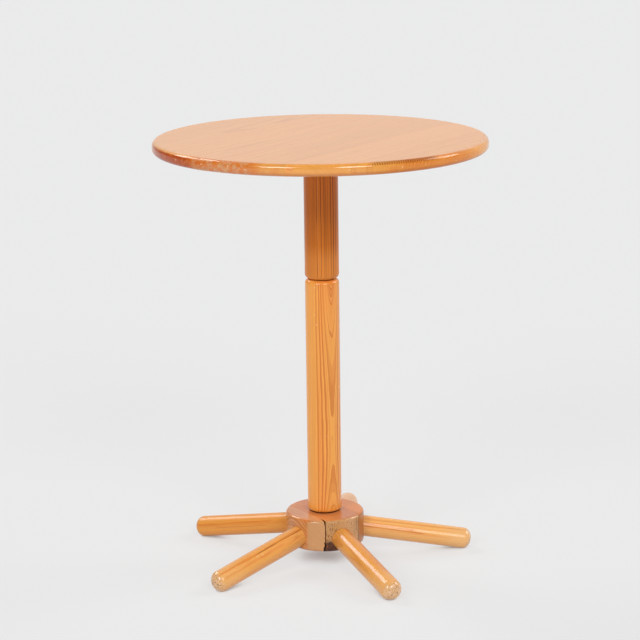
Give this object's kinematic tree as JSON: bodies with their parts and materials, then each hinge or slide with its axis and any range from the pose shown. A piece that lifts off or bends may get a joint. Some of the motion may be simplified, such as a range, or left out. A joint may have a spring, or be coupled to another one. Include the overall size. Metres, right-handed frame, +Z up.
{
  "type": "wine table",
  "caption": "Round wooden pedestal table on sloping round legs; the top turns on a hidden wooden screw in a split column to set its height.",
  "frame": {"origin": "on the floor, on the column's axis", "axes": "+Z up along the column; seen from the front, +X to the right and +Y away"},
  "size_m": [0.55, 0.55, 0.72],
  "materials": {
    "pine_top": "clear gloss varnish over pine",
    "pine_cleat": "thin varnish over pine",
    "pine_upper_post": "clear gloss varnish over aged pine",
    "pine_lower_post": "clear gloss varnish over pine",
    "pine_hub": "clear gloss varnish over pine",
    "pine_leg": "clear gloss varnish over pine",
    "beech": "bare waxed beech",
    "steel": "bright zinc plate"
  },
  "bodies": {
    "base": {"lower_post": "pine_lower_post", "thread_bush": "beech", "bush_pins": "beech", "post_bolt": "steel", "post_washer": "steel", "hub_left_board": "pine_hub", "hub_middle_board": "pine_hub", "hub_right_board": "pine_hub", "leg_back": "pine_leg", "leg_left": "pine_leg", "leg_front_left": "pine_leg", "leg_front_right": "pine_leg", "leg_right": "pine_leg"},
    "guide": {"spindle_guide": "beech"},
    "top": {"top_board_1": "pine_top", "top_board_2": "pine_top", "top_board_3": "pine_top", "top_board_4": "pine_top", "top_board_5": "pine_top", "top_board_6": "pine_top", "top_board_7": "pine_top", "top_cleat": "pine_cleat", "cleat_screws": "steel", "upper_post": "pine_upper_post", "spindle": "beech", "spindle_wedge": "beech", "guide_washer": "steel", "guide_screw": "steel"}
  },
  "joints": [
    {"name": "lift", "type": "slide", "parent": "base", "child": "guide", "axis": [0, 0, 1], "range_m": [0, 0.12]},
    {"name": "turn", "type": "hinge", "parent": "guide", "child": "top", "pos_m": [0, 0, 0], "axis": [0, 0, 1], "range_deg": [0, 4320]}
  ],
  "couplings": [
    {"joint": "lift", "follows": "turn", "m_per_rad": 0.0015915}
  ]
}
